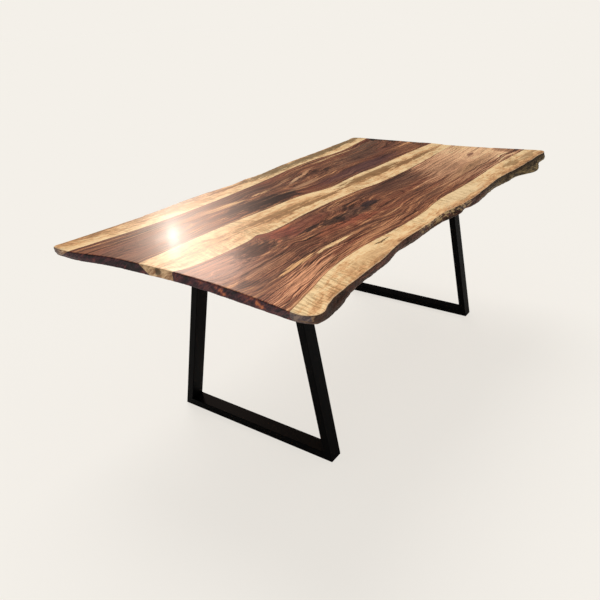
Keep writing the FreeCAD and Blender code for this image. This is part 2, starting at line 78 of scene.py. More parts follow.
camera_data = bpy.data.cameras.new("camera")
camera_data.sensor_width = SENSOR_WIDTH_MM
camera_data.lens = FOCAL_LENGTH_IN_PIXELS / PICTURE_WIDTH * SENSOR_WIDTH_MM
camera = bpy.data.objects.new("camera", camera_data)
scene.collection.objects.link(camera)
turn = Matrix.Rotation(math.radians(HEADING), 4, "Z")
tilt = Matrix.Rotation(math.radians(90 - LOOK_DOWN), 4, "X")
roll = Matrix.Rotation(math.radians(HEAD_TILT), 4, "Z")
camera.matrix_world = Matrix.Translation(EYE) @ turn @ tilt @ roll
scene.camera = camera

# ---------------------------------------------------------------------------------------------
# Studio: a pale matt floor in even light, half from all round and half from a broad soft lamp
# behind the table, and four lamps that show only as the glare and the sheen on the near end
# ---------------------------------------------------------------------------------------------


def tint(code):
    """The linear colour of a six-digit hex code."""
    parts = [int(code[index:index + 2], 16) / 255 for index in (0, 2, 4)]
    linear = [part / 12.92 if part <= 0.04045 else ((part + 0.055) / 1.055) ** 2.4 for part in parts]
    return (*linear, 1.0)


def plug(node, sockets):
    """Sets or links a node's input sockets."""
    for name, value in sockets.items():
        if isinstance(value, Wire):
            value.tree.links.new(value.socket, node.inputs[name])
        else:
            node.inputs[name].default_value = value


class Wire:
    """An output socket. Arithmetic on it adds Math nodes to its tree."""

    def __init__(self, tree, socket):
        self.tree = tree
        self.socket = socket

    def node(self, kind, settings=None, sockets=None, output=0):
        """Adds a node: settings first, then its sockets' values or links."""
        made = self.tree.nodes.new("ShaderNode" + kind)
        for name, value in (settings or {}).items():
            if name == "stops":
                set_stops(made.color_ramp, value)
            elif name == "points":
                set_points(made.mapping, value)
            else:
                setattr(made, name, value)
        plug(made, sockets or {})
        return Wire(self.tree, made.outputs[output])

    def maths(self, operation, first, second=0.0, clamped=False):
        """Adds a Math node."""
        settings = {"operation": operation, "use_clamp": clamped}
        return self.node("Math", settings, {0: first, 1: second})

    def __add__(self, other):
        return self.maths("ADD", self, other)

    def __radd__(self, other):
        return self.maths("ADD", other, self)

    def __sub__(self, other):
        return self.maths("SUBTRACT", self, other)

    def __rsub__(self, other):
        return self.maths("SUBTRACT", other, self)

    def __mul__(self, other):
        return self.maths("MULTIPLY", self, other)

    def __rmul__(self, other):
        return self.maths("MULTIPLY", other, self)

    def __truediv__(self, other):
        return self.maths("DIVIDE", self, other)

    def __pow__(self, other):
        return self.maths("POWER", self, other)

    def __abs__(self):
        return self.maths("ABSOLUTE", self)

    def larger(self, other):
        return self.maths("MAXIMUM", self, other)

    def smaller(self, other):
        return self.maths("MINIMUM", self, other)

    def clamp(self):
        """This value, kept between 0 and 1."""
        return self.maths("ADD", self, 0.0, clamped=True)

    def step(self, low, high):
        """0 below low and 1 above high, with a smooth rise between."""
        settings = {"interpolation_type": "SMOOTHSTEP", "clamp": True}
        return self.node("MapRange", settings, {"Value": self, "From Min": low, "From Max": high})

    def blend(self, first, second):
        """Mixes two colours, by this wire."""
        return self.node("Mix", {"data_type": "RGBA"}, {0: self, 6: first, 7: second}, output=2)

    def ramp(self, *stops):
        """The colour that (value, hex code) stops give to this value."""
        return self.node("ValToRGB", {"stops": stops}, {0: self})

    def axes(self):
        """The X, Y and Z of this vector, as three wires."""
        outputs = self.node("SeparateXYZ", None, {0: self}).socket.node.outputs
        return [Wire(self.tree, output) for output in outputs]


def set_stops(ramp, stops):
    """Fills a colour ramp with (value, hex code) stops."""
    while len(ramp.elements) < len(stops):
        ramp.elements.new(1.0)
    for element, (value, code) in zip(ramp.elements, stops):
        element.position = value
        element.color = tint(code)


def start_material(name):
    """A new material, its place wire in Object coordinates and its Principled node."""
    material = bpy.data.materials.new(name)
    material.use_nodes = True
    tree = material.node_tree
    place = Wire(tree, tree.nodes.new("ShaderNodeTexCoord").outputs["Object"])
    return material, place, tree.nodes["Principled BSDF"]


def new_piece(name, mesh, material):
    """A scene object from a bmesh, at the origin."""
    data = bpy.data.meshes.new(name)
    mesh.to_mesh(data)
    mesh.free()
    data.materials.append(material)
    piece = bpy.data.objects.new(name, data)
    scene.collection.objects.link(piece)
    return piece


PALE = tint("f4f0e9")
FLOOR_SIZE = 60.0
FLOOR_GAP = 0.0005
SHADOW_SOFTENING = 0.78

floor_material, floor_place, floor_surface = start_material("pale_floor")
plug(floor_surface, {"Base Color": PALE, "Roughness": 1.0, "Specular IOR Level": 0.0})
floor_tree = floor_material.node_tree
glow = floor_place.node("Emission", None, {"Color": PALE, "Strength": 1.0})
camera_ray = floor_place.node("LightPath")
floor_look = floor_place.node("MixShader", None, {
    0: camera_ray * SHADOW_SOFTENING,
    1: Wire(floor_tree, floor_surface.outputs[0]),
    2: glow,
})
plug(floor_tree.nodes["Material Output"], {"Surface": floor_look})

floor_mesh = bmesh.new()
bmesh.ops.create_grid(floor_mesh, x_segments=1, y_segments=1, size=FLOOR_SIZE)
bmesh.ops.translate(floor_mesh, verts=floor_mesh.verts, vec=(0, 0, -FLOOR_GAP))
new_piece("floor", floor_mesh, floor_material)

SKY_SHARE = 0.5
REFLECTED_SHARE = 0.10
SUN_ELEVATION = 55.0
SUN_SPREAD = 35.0

world = bpy.data.worlds.new("studio")
scene.world = world
world.use_nodes = True
world_tree = world.node_tree
rays = world_tree.nodes.new("ShaderNodeLightPath").outputs
seen = Wire(world_tree, rays["Is Camera Ray"]) + Wire(world_tree, rays["Is Transmission Ray"])
mirrored = Wire(world_tree, rays["Is Glossy Ray"])
sky = (SKY_SHARE, SKY_SHARE, SKY_SHARE, 1.0)
room = mirrored.blend(sky, tuple(REFLECTED_SHARE * part for part in PALE))
plug(world_tree.nodes["Background"], {"Color": seen.clamp().blend(room, PALE), "Strength": 1.0})


def add_lamp(name, kind, place, target, settings):
    """A lamp that faces target and doesn't show itself."""
    data = bpy.data.lights.new(name, kind)
    for setting, value in settings.items():
        setattr(data, setting, value)
    lamp = bpy.data.objects.new(name, data)
    facing = (Vector(target) - Vector(place)).to_track_quat("-Z", "Y")
    lamp.matrix_world = Matrix.Translation(place) @ facing.to_matrix().to_4x4()
    lamp.visible_camera = False
    scene.collection.objects.link(lamp)
    return lamp


sun_share = (1 - SKY_SHARE) * math.pi / math.sin(math.radians(SUN_ELEVATION))
sun_place = Vector((2.0, 2.2, 3.0 * math.tan(math.radians(SUN_ELEVATION))))
soft_sun = add_lamp("soft_sun", "SUN", sun_place, (0, 0, 0), {
    "energy": sun_share,
    "angle": math.radians(SUN_SPREAD),
})
soft_sun.visible_glossy = False
table_height = cad_bounds[1][2]
glare_place = (2.10, 3.37, 2.21)
glare_target = (-0.80, 0.22, table_height)
for name, place, target, settings in (
    ("glare_lamp", glare_place, glare_target, {
        "size": 0.12, "size_y": 0.035, "energy": 4.2, "color": (1.0, 0.94, 0.86)}),
    ("bloom_lamp", glare_place, glare_target, {
        "size": 0.40, "size_y": 0.12, "energy": 6.5, "color": (1.0, 0.88, 0.74)}),
    ("halo_lamp", glare_place, glare_target, {
        "size": 0.80, "size_y": 0.20, "energy": 4.5, "color": (1.0, 0.78, 0.58)}),
    ("sheen_lamp", (1.43, 2.32, 2.10), (-0.95, -0.05, table_height), {
        "size": 0.70, "size_y": 0.40, "energy": 14.0, "color": (1.0, 0.70, 0.58)}),
):
    lamp = add_lamp(name, "AREA", place, target, {"shape": "ELLIPSE", **settings})
    lamp.visible_diffuse = False

# ---------------------------------------------------------------------------------------------
# Slabs: two natural-edge planks of one dark, figured hardwood with pale sapwood on both sides
# of each, glued along a sawn line, sanded flat and finished with a clear lacquer
# ---------------------------------------------------------------------------------------------

WELD = 0.00001
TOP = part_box("front_slab")[1].z
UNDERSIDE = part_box("front_slab")[0].z
ARRIS = 0.004
SWELL = 0.014
SPACING = 0.003
EDGE_RINGS = 5
ROUND_STEPS = 32


def merged_copy(node):
    """A bmesh of a CAD node, with its loose triangles joined."""
    mesh = bmesh.new()
    mesh.from_mesh(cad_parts[node].data)
    bmesh.ops.remove_doubles(mesh, verts=mesh.verts, dist=WELD)
    return mesh


def rim_edges(node, level):
    """The node's edges that lie at a level, as pairs of points."""
    mesh = merged_copy(node)
    edges = [[vert.co.copy() for vert in edge.verts] for edge in mesh.edges
             if all(abs(vert.co.z - level) < WELD for vert in edge.verts)]
    mesh.free()
    return edges


def glue_line_ends(level):
    """The two points where both slabs' outlines meet, near end first."""
    front = [point for edge in rim_edges("front_slab", level) for point in edge]
    rear = [point for edge in rim_edges("rear_slab", level) for point in edge]
    shared = [point for point in front if any((point - other).length < WELD for other in rear)]
    return min(shared, key=lambda point: point.x), max(shared, key=lambda point: point.x)


seam_near, seam_far = glue_line_ends(TOP - ARRIS)
SEAM_SLOPE = (seam_far.y - seam_near.y) / (seam_far.x - seam_near.x)
SEAM_MIDDLE = seam_near.y - seam_near.x * SEAM_SLOPE


def rim(node, level):
    """A slab's outline at a level, in order, from the glue line's near end to its far end."""
    near, far = glue_line_ends(level)
    along = (far - near).normalized()
    tolerance = WELD * 20

    def off_glue_line(edge):
        offsets = [(point - near) - along * (point - near).dot(along) for point in edge]
        return max(offset.length for offset in offsets) > tolerance

    waiting = [edge for edge in rim_edges(node, level) if off_glue_line(edge)]
    points = [near]
    while (points[-1] - far).length > WELD:
        nearest = min(waiting, key=lambda edge: min((point - points[-1]).length for point in edge))
        waiting.remove(nearest)
        nearest.sort(key=lambda point: (point - points[-1]).length)
        points.append(nearest[1])
    return points


def evenly_spaced(points, count):
    """Count points at even steps along a line of points."""
    runs = [(last - first).length for first, last in zip(points, points[1:])]
    step = sum(runs) / (count - 1)
    spaced = [points[0]]
    index, walked = 0, 0.0
    for stop in range(1, count - 1):
        while walked + runs[index] < step * stop:
            walked += runs[index]
            index += 1
        share = (step * stop - walked) / runs[index]
        spaced.append(points[index].lerp(points[index + 1], share))
    return spaced + [points[-1]]


def softened(points, rounds=5):
    """The same line with its small corners smoothed away; its ends stay."""
    for _ in range(rounds):
        middles = [(first + point * 2 + last) / 4
                   for first, point, last in zip(points, points[1:], points[2:])]
        points = [points[0], *middles, points[-1]]
    return points


# Heights of the edge's roughness, each with how often it comes along the edge and down it
BARK_WAVES = ((0.0024, 16, 40), (0.0014, 60, 120), (0.0007, 40, 420))
SAW_WAVES = ((0.0011, 45, 60), (0.0006, 150, 90))
SPLINTERS = ((0.008, 26, 30),)


def waviness(point, depth, waves):
    """The sum of several waves of smooth noise at a point of the edge."""
    return sum(height * noise.noise(Vector((point.x * along, point.y * along, depth * down)))
               for height, along, down in waves)


def relief(point, depth, live, hollows):
    """How far the edge stands in: wood under bark, or a sawn end, the far one the rougher."""
    natural = waviness(point, depth, BARK_WAVES)
    for x, level, half_length, half_height, deep in hollows:
        distance = ((point.x - x) / half_length) ** 2 + ((depth - level) / half_height) ** 2
        natural += deep * math.exp(-distance)
    sawn = waviness(point, depth, SAW_WAVES)
    if point.x > 0:
        sawn += max(0.0, waviness(point, depth, SPLINTERS))
    return live * natural + (1 - live) * sawn


def edge_point(line, index, side, level, inset, hollows):
    """Where a point of an outline goes: inwards by the arris and the relief, within the CAD box."""
    point = line[index]
    last = len(line) - 1
    run = (line[min(index + 2, last)] - line[max(index - 2, 0)]).normalized()
    inwards = Vector((run.y, -run.x, 0)) * side
    if index in (0, last):
        inwards = Vector((-math.copysign(1, point.x), 0, 0))
    # 1 on the natural edge and 0 on a sawn end, with a gradual change round the corner.
    live = min(1.0, max(0.0, abs(run.x) * 2 - 0.6))
    moved = point + inwards * (inset + relief(point, TOP - level, live, hollows))
    low, high = cad_bounds
    return Vector((min(max(moved.x, low[0]), high[0]), min(max(moved.y, low[1]), high[1]), level))


def next_ring(mesh, ring):
    """Extrudes a closed ring of points and returns the new ring, in the same order."""
    edges = [mesh.edges.get((point, other)) for point, other in zip(ring, ring[1:] + ring[:1])]
    made = set(bmesh.ops.extrude_edge_only(mesh, edges=edges)["geom"])
    return [next(edge.other_vert(point) for edge in point.link_edges if edge.other_vert(point) in made)
            for point in ring]


def arris_layer(line, level, degrees):
    """A layer of the slab's edge on a rounded arris, at an angle above or below its level."""
    turn = math.radians(degrees)
    return line, line, 0.0, level + ARRIS * math.sin(turn), ARRIS * (1 - math.cos(turn))


def slab_mesh(node, side, hollows):
    """A slab: a ring of points round its top face, extruded down to its underside."""
    levels = [TOP - ARRIS, UNDERSIDE + SWELL, UNDERSIDE + ARRIS]
    plain = [rim(node, level) for level in levels]
    length = sum((last - first).length for first, last in zip(plain[0], plain[0][1:]))
    count = round(length / SPACING)
    upper, middle, lower = [softened(evenly_spaced(points, count)) for points in plain]
    layers = [arris_layer(upper, levels[0], degrees) for degrees in (90, 60, 30)]
    for first, last, high, low in ((upper, middle, *levels[:2]), (middle, lower, *levels[1:])):
        for step in range(EDGE_RINGS):
            share = step / EDGE_RINGS
            layers.append((first, last, share, high + (low - high) * share, 0.0))
    layers += [arris_layer(lower, levels[2], degrees) for degrees in (0, -30, -60, -90)]
    mesh = bmesh.new()
    ring = []
    for first, last, share, level, inset in layers:
        line = [start.lerp(end, share) for start, end in zip(first, last)]
        if ring:
            ring = next_ring(mesh, ring)
        else:
            ring = [mesh.verts.new(point) for point in line]
            mesh.faces.new(ring)
        for index, vert in enumerate(ring):
            vert.co = edge_point(line, index, side, level, inset, hollows)
    bottom = [mesh.edges.get((point, other)) for point, other in zip(ring, ring[1:] + ring[:1])]
    bmesh.ops.contextual_create(mesh, geom=bottom)
    bmesh.ops.recalc_face_normals(mesh, faces=mesh.faces)
    for face in mesh.faces:
        face.smooth = len(face.verts) == 4
    return mesh


def groove_cutter(channel):
    """The room that a router leaves for a let-in channel: its web and its two flanges."""
    low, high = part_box(channel)
    wall = 0.003
    gap = 0.0005
    overshoot = 0.01
    mesh = bmesh.new()
    bmesh.ops.create_cube(mesh, size=1.0)
    reach = (high.x - low.x + 2 * gap, high.y - low.y + 2 * gap, wall + overshoot)
    bmesh.ops.scale(mesh, verts=mesh.verts, vec=reach)
    middle = (low + high) / 2
    centre = (middle.x, middle.y, low.z + wall - reach[2] / 2)
    bmesh.ops.translate(mesh, verts=mesh.verts, vec=centre)
    inner = (high.x - low.x) / 2 - wall - gap
    for offset in (-inner, inner):
        everything = mesh.verts[:] + mesh.edges[:] + mesh.faces[:]
        bmesh.ops.bisect_plane(mesh, geom=everything, plane_co=(middle.x + offset, 0, 0),
                               plane_no=(1, 0, 0))
    strips = [face for face in mesh.faces
              if face.normal.z > 0.9 and abs(face.calc_center_median().x - middle.x) > inner]
    lifted = bmesh.ops.extrude_face_region(mesh, geom=strips)["geom"]
    corners = [item for item in lifted if isinstance(item, bmesh.types.BMVert)]
    bmesh.ops.delete(mesh, geom=strips, context="FACES_ONLY")
    bmesh.ops.translate(mesh, verts=corners, vec=(0, 0, high.z + gap - low.z - wall))
    bmesh.ops.recalc_face_normals(mesh, faces=mesh.faces)
    return mesh


def solids(mesh):
    """The points of each separate solid in a mesh."""
    groups = []
    seen = set()
    for start in mesh.verts:
        if start in seen:
            continue
        seen.add(start)
        group = [start]
        for point in group:
            others = [edge.other_vert(point) for edge in point.link_edges]
            fresh = [other for other in others if other not in seen]
            seen.update(fresh)
            group.extend(fresh)
        groups.append(group)
    return groups


def solid_boxes(node):
    """The lowest and highest corner of each separate solid in a CAD node."""
    mesh = merged_copy(node)
    boxes = []
    for group in solids(mesh):
        columns = list(zip(*[point.co for point in group]))
        low, high = [Vector([pick(column) for column in columns]) for pick in (min, max)]
        boxes.append((low, high))
    mesh.free()
    return boxes


def joint_cutter():
    """Mortises a little larger than their tenons, and the drilled holes of the threaded inserts."""
    mortise_scale = 1.03
    hole_play = 0.0001
    drilled_past = 0.003
    overshoot = 0.0005
    mesh = merged_copy("alignment_tenons")
    for points in solids(mesh):
        centre = sum((point.co for point in points), Vector()) / len(points)
        bmesh.ops.scale(mesh, verts=points, vec=[mortise_scale] * 3, space=Matrix.Translation(-centre))
    for node in ("near_frame_inserts", "far_frame_inserts", "channel_inserts"):
        for low, high in solid_boxes(node):
            middle = (low + high) / 2
            radius = (high.x - low.x) / 2 + hole_play
            depth = high.z - low.z + overshoot + drilled_past
            middle.z = low.z - overshoot + depth / 2
            bmesh.ops.create_cone(mesh, cap_ends=True, segments=ROUND_STEPS, radius1=radius,
                                  radius2=radius, depth=depth, matrix=Matrix.Translation(middle))
    return mesh


def cut_joints(piece):
    """Cuts the channels' grooves, the mortises and the insert holes into a slab."""
    cutters = [groove_cutter(channel) for channel in ("near_channel", "middle_channel", "far_channel")]
    cutters = [new_piece("cutter", mesh, None) for mesh in (*cutters, joint_cutter())]
    for cutter in cutters:
        modifier = piece.modifiers.new("cut", "BOOLEAN")
        modifier.operation = "DIFFERENCE"
        modifier.solver = "EXACT"
        modifier.object = cutter
    evaluated = piece.evaluated_get(bpy.context.evaluated_depsgraph_get())
    cut = bpy.data.meshes.new_from_object(evaluated)
    piece.modifiers.clear()
    piece.data = cut
    for cutter in cutters:
        bpy.data.objects.remove(cutter)
    cut.set_sharp_from_angle(angle=math.radians(40))
    # The planed faces are shaded flat, so that the cuts leave no shadows on them.
    for face in cut.polygons:
        if abs(face.normal.z) > 0.999:
            face.use_smooth = False


# How far from the middle the drawn lines reach, a little past the top all round
HALF_LENGTH = 1.1
HALF_WIDTH = 0.6


def set_points(mapping, points):
    """Fills a float curve with (x, y) points across the table top."""
    curve = mapping.curves[0]
    while len(curve.points) < len(points):
        curve.points.new(0.5, 0.5)
    for spot, (x, y) in zip(curve.points, points):
        spot.location = (x / (2 * HALF_LENGTH) + 0.5, y / (2 * HALF_WIDTH) + 0.5)
    mapping.update()


def drawn_line(x, points):
    """Where a line drawn through points crosses the top at x."""
    share = x / (2 * HALF_LENGTH) + 0.5
    return (x.node("FloatCurve", {"points": points}, {"Value": share}) - 0.5) * (2 * HALF_WIDTH)


def vector(x, y, z):
    """A vector wire from its three parts."""
    return x.node("CombineXYZ", None, {0: x, 1: y, 2: z})


def grain(place, scale, detail, roughness, distortion=0.0):
    """Noise from 0 to 1, stretched by scale along each axis."""
    stretched = place.node("Mapping", None, {"Vector": place, "Scale": scale})
    return place.node("TexNoise", None, {
        "Vector": stretched,
        "Scale": 1.0,
        "Detail": detail,
        "Roughness": roughness,
        "Distortion": distortion,
    })


def soft_spot(place, middle, rotation, reach):
    """1 in the middle of a turned oval, falling smoothly to 0 at its rim."""
    local = place.node("Mapping", {"vector_type": "TEXTURE"}, {
        "Vector": place,
        "Location": middle,
        "Rotation": rotation,
        "Scale": reach,
    })
    radius = local.node("VectorMath", {"operation": "LENGTH"}, {0: local}, output=1)
    return radius.step(1.0, 0.0)


def oval(place, x, y, half_length, half_width, turn):
    """A soft spot on the top."""
    return soft_spot(place, (x, y, TOP), (0, 0, math.radians(turn)), (half_length, half_width, 1.0))


def end_oval(place, y, z, half_width, half_height, turn):
    """A soft spot on the near sawn end."""
    middle = (seam_near.x, y, z)
    return soft_spot(place, middle, (math.radians(turn), 0, 0), (1.0, half_width, half_height))


def slab_figure(place, side, inner_points, outer_points, leans, knots):
    """The wires that a slab's wood is drawn with: its places, its grain and its heartwood."""
    x, y, z = place.axes()
    depth = TOP - z
    inner = drawn_line(x, inner_points) + depth * leans[0]
    outer = drawn_line(x, outer_points) + depth * leans[1]
    from_inner = (y - inner) * side
    from_outer = (outer - y) * side
    across = from_inner / (from_inner + from_outer)

    # The grain runs beside both boundaries, wanders a little and bends round the knots.
    inner_level, outer_level = [sum(point[1] for point in points) / len(points)
                                for points in (inner_points, outer_points)]
    share = across.clamp()
    parallel = share * (outer_level - outer) + (1.0 - share) * (inner_level - inner)
    wave = grain(place, (3.2, 3.0, 12.0), 2.0, 0.5)
    sway = grain(place, (7.0, 9.0, 9.0), 2.0, 0.5)
    ripple = grain(place, (13.0, 40.0, 40.0), 3.0, 0.6)
    bend = (wave - 0.5) * 0.036 + (sway - 0.5) * 0.036 + parallel
    curliness = 0.005
    for *spot, pull in knots:
        reach = oval(place, *spot)
        bend = bend - reach * (y - spot[1]) * pull
        curliness = reach * 0.030 + curliness
    bend = bend + (ripple - 0.5) * curliness
    flow = vector(x, y + bend, z)
    line = grain(flow, (2.2, 210.0, 210.0), 3.0, 0.65)
    streak = grain(flow, (1.6, 90.0, 90.0), 4.0, 0.7)
    mottle = grain(flow, (14.0, 46.0, 46.0), 6.0, 0.72)
    frayed_y = y + (mottle - 0.5) * 0.022 + (streak - 0.5) * 0.02

    # Growth rings: flat arches about the slab's middle, cut by the top at an uneven depth.
    arch = (across * 2.0 - 1.0) + (bend - parallel) * 8.0
    lift = grain(place, (1.5, 2.0, 2.0), 1.0, 0.5) * 0.7
    ring = (arch * arch + lift + depth * 4.0) ** 0.5 + (ripple - 0.5) * 0.05
    ring_place = vector(x * 2.4, ring * 24.0, depth * 3.0)
    return SimpleNamespace(
        place=place, x=x, y=y, z=z, depth=depth, side=side, flow=flow,
        frayed=vector(x + (mottle - 0.5) * 0.12, frayed_y, z),
        inside=from_inner.smaller(from_outer) + (line - 0.5) * 0.004,
        rings=grain(ring_place, (1.0, 1.0, 1.0), 5.0, 0.72),
        fibre=grain(flow, (22.0, 520.0, 520.0), 3.0, 0.65),
        thread=grain(flow, (2.6, 360.0, 360.0), 2.0, 0.6),
        line=line, streak=streak, mottle=mottle, ripple=ripple)


def stained(colour, figure, spot, fray, code, strength):
    """A colour with one mark over it: an oval whose rim is frayed."""
    reach = oval(figure.frayed, *spot)
    cover = (reach + fray).step(0.20, 0.60) * reach.step(0.0, 0.12)
    return (cover * strength).blend(colour, tint(code))


def heartwood(figure, marks):
    """Brown rings and bands, red and grey in places, with marks, grain and fine dark lines."""
    broad = grain(figure.flow, (2.2, 24.0, 24.0), 5.0, 0.7)
    tone = figure.rings * 0.38 + broad * 0.24 + figure.streak * 0.28 + figure.line * 0.32 - 0.11
    colour = tone.ramp(
        (0.38, "2e1914"), (0.42, "613725"), (0.445, "4e2d21"),
        (0.47, "86523a"), (0.495, "724331"), (0.52, "a36a47"),
        (0.545, "86523a"), (0.57, "bb8357"), (0.62, "d39c6b"))
    hue = grain(figure.flow, (2.4, 16.0, 16.0), 4.0, 0.65)
    colour = (hue.step(0.50, 0.66) * 0.45).blend(colour, tint("7e3c2c"))
    colour = (hue.step(0.50, 0.34) * 0.40).blend(colour, tint("4e3a33"))
    streaks = figure.streak - 0.5
    lines = figure.line - 0.5
    frays = {
        "torn": streaks * 1.5 + lines * 1.8,
        "thread": streaks * 1.4 + lines * 2.0 + (figure.thread - 0.5) * 4.0 - 0.22,
        "blot": (figure.mottle - 0.5) * 2.6 + (figure.ripple - 0.5) * 1.2,
    }
    for *spot, code, strength, kind in marks:
        colour = stained(colour, figure, spot, frays[kind], code, strength)
    texture = (figure.rings * 0.30 + figure.line * 0.40 + figure.fibre * 0.30 - 0.5) * 4.2 + 0.5
    shading = {"data_type": "RGBA", "blend_type": "MULTIPLY", "clamp_result": True}
    colour = texture.node("Mix", shading, {0: 0.78, 6: colour, 7: texture.clamp() * 2.0}, output=2)
    return (figure.line.step(0.57, 0.66) * 0.40).blend(colour, tint("2a1511"))


def sapwood(figure, marks):
    """Cream beside the heartwood and browner outwards, with marks and a ripple across it."""
    place, x, y = figure.place, figure.x, figure.y
    mottle = figure.mottle - 0.5
    streaks = figure.streak - 0.5
    fleck = grain(place, (60.0, 130.0, 130.0), 4.0, 0.7) - 0.5
    tone = figure.inside * -6.0 + mottle * 2.2 + streaks * 0.8 + fleck * 0.8
    colour = tone.ramp(
        (0.00, "ffdca6"), (0.22, "f6c78f"), (0.45, "dfa873"), (0.68, "b38055"), (1.00, "855c3e"))
    fray = streaks * 2.0 + mottle * 1.6 - 0.02
    for *spot, code, strength in marks:
        colour = stained(colour, figure, spot, fray, code, strength)
    slanted = x + y * 0.25 * figure.side + (fleck * 0.004 + mottle * 0.016)
    curl = grain(vector(slanted, y, figure.z), (150.0, 20.0, 20.0), 3.0, 0.6)
    curl_reach = grain(place, (6.0, 16.0, 16.0), 2.0, 0.5).step(0.34, 0.58)
    curl_reach = curl_reach.larger(oval(place, -0.92, -0.46, 0.34, 0.14, 8.0) * 1.4)
    return (curl.step(0.46, 0.60) * curl_reach * 0.45).blend(colour, tint("8a683a"))


def sawn_end(figure, heart, spots):
    """The figure and the colour of a sawn end: purple with orange flames, and dull sapwood."""
    place, y = figure.place, figure.y
    slope = (math.radians(38), 0, 0)
    sloping = place.node("Mapping", None, {"Vector": place, "Rotation": slope})
    patch = grain(place, (10.0, 9.0, 9.0), 2.0, 0.5)
    flames = grain(sloping, (30.0, 26.0, 95.0), 5.0, 0.7, 0.6) + (patch - 0.5) * 0.35
    for spot in spots:
        flames = flames + end_oval(place, *spot) * 0.22
    heart_colour = (flames + y.step(0.05, -0.25) * 0.03).ramp(
        (0.40, "1b0b10"), (0.50, "371822"), (0.58, "50262c"), (0.67, "7a3c30"), (0.76, "bd6c42"))
    corner = y.step(-0.25, -0.45).larger(y.step(0.42, 0.50))
    sap_colour = flames.step(0.40, 0.65).blend(
        corner.blend(tint("9a6d4a"), tint("4d3f42")),
        corner.blend(tint("e2bd90"), tint("8a746a")))
    smudge = end_oval(place, 0.060, 0.757, 0.022, 0.020, 0.0) + (flames - 0.5) * 1.5
    sap_colour = (smudge.step(0.25, 0.60) * 0.85).blend(sap_colour, tint("45361f"))
    return flames, heart.blend(sap_colour, heart_colour)


def natural_edge(figure):
    """The figure and the colour under the bark: dark, olive at the far flare with painted shade just
    under the top's edge, and one pale scar.
    """
    place, x, depth = figure.place, figure.x, figure.depth
    bark = grain(place, (24.0, 24.0, 150.0), 5.0, 0.65, 0.3)
    colour = bark.ramp((0.38, "180a09"), (0.50, "3b1b15"), (0.60, "5a2d21"), (0.74, "7a4a33"))
    colour = (x.step(-0.78, -0.98) * 0.6).blend(colour, tint("150c0b"))
    # The olive face is painted darker just under the top's edge: painted shade below the overhanging
    # top, mixed with the bark's own mottle.
    olive_and_painted_shade = bark.step(0.40, 0.62) * depth.step(0.002, 0.022)
    olive_colour = olive_and_painted_shade.blend(tint("2b2116"), tint("85704a"))
    flare = grain(place, (14.0, 14.0, 60.0), 4.0, 0.6) * 0.5 + x.step(-0.30, 0.75) * 0.62
    colour = flare.step(0.48, 0.66).blend(colour, olive_colour)
    broken = grain(place, (40.0, 40.0, 110.0), 3.0, 0.6).step(0.47, 0.54)
    scar = x.step(-0.36, -0.28) * x.step(0.12, 0.04) * depth.step(0.027, 0.017)
    return bark, (scar * broken).blend(colour, tint("b89a6c"))


def slab_material(name, side, inner_points, outer_points, leans, knots, marks, sap_marks, end_spots):
    """The wood of one slab, solid all through, with its sawn ends and its natural edge."""
    material, place, surface = start_material(name)
    figure = slab_figure(place, side, inner_points, outer_points, leans, knots)
    heart = figure.inside.step(-0.0007, 0.0007)
    colour = heart.blend(sapwood(figure, sap_marks), heartwood(figure, marks))
    border = 1.0 - abs(figure.inside - 0.0012).step(0.0006, 0.0022)
    colour = (border * 0.35).blend(colour, tint("542d1e"))
    seam = abs(figure.y - (SEAM_MIDDLE + figure.x * SEAM_SLOPE)).step(0.0012, 0.0003)
    colour = (seam * 0.65).blend(colour, tint("5a3a28"))

    facing_x, _, facing_z = Wire(place.tree, place.socket.node.outputs["Normal"]).axes()
    upright = facing_z.step(0.93, 0.70).larger(figure.depth.step(0.0025, 0.0050))
    upright = upright * facing_z.step(-0.99, -0.90)
    end_face = upright * abs(facing_x).step(0.62, 0.80)
    live_face = upright * (1.0 - end_face)
    # Painted highlight where the eased arris of the sapwood catches the light, together with a pale
    # worn edge.
    arris_highlight_and_wear = facing_z.step(0.78, 0.90) * facing_z.step(0.998, 0.96) * (1.0 - heart)
    colour = (arris_highlight_and_wear * 0.45).blend(colour, tint("ddc8a8"))
    flames, end_colour = sawn_end(figure, heart, end_spots)
    colour = end_face.blend(colour, end_colour)
    bark, bark_colour = natural_edge(figure)
    colour = (live_face * 0.96).blend(colour, bark_colour)

    height = figure.line * 0.5 + figure.fibre * 0.3 + upright * (bark + flames) * 2.0
    bump = place.node("Bump", None, {"Strength": 0.45, "Distance": 0.0006, "Height": height})
    plug(surface, {
        "Base Color": colour,
        "Roughness": 0.22 + figure.line * 0.24 + figure.fibre * 0.10 + upright * 0.25,
        "Normal": bump,
        "Specular IOR Level": 0.3,
        "Coat Weight": (1.0 - live_face) * 0.07,
        "Coat Roughness": 0.13,
    })
    return material


def make_slab(node, side, material, hollows):
    """A finished slab, in place of its CAD node."""
    piece = new_piece(f"{node}_wood", slab_mesh(node, side, hollows), material)
    cut_joints(piece)
    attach(piece, "root")
    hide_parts(node)


# The side of the glue line that each slab lies on
FRONT = -1
REAR = 1

# Both slabs' tables are in metres and degrees. Inner and outer: the heartwood's boundaries as
# (x, y). Leans: how far each boundary moves across for every metre down. Knots: x, y, half length,
# half width, turn, and how hard they pull the grain. Marks: x, y, half length, half width, turn,
# colour, strength and, on heartwood, the kind of rim. End spots: y, z, half width, half height,
# turn. Hollows: x, depth, half length, half height, and how deep.

# Front slab: the reddish plank on the seated side, with a knot patch, a bent grain round it and
# pale streaks; its natural edge is dark and broken where the bark came away

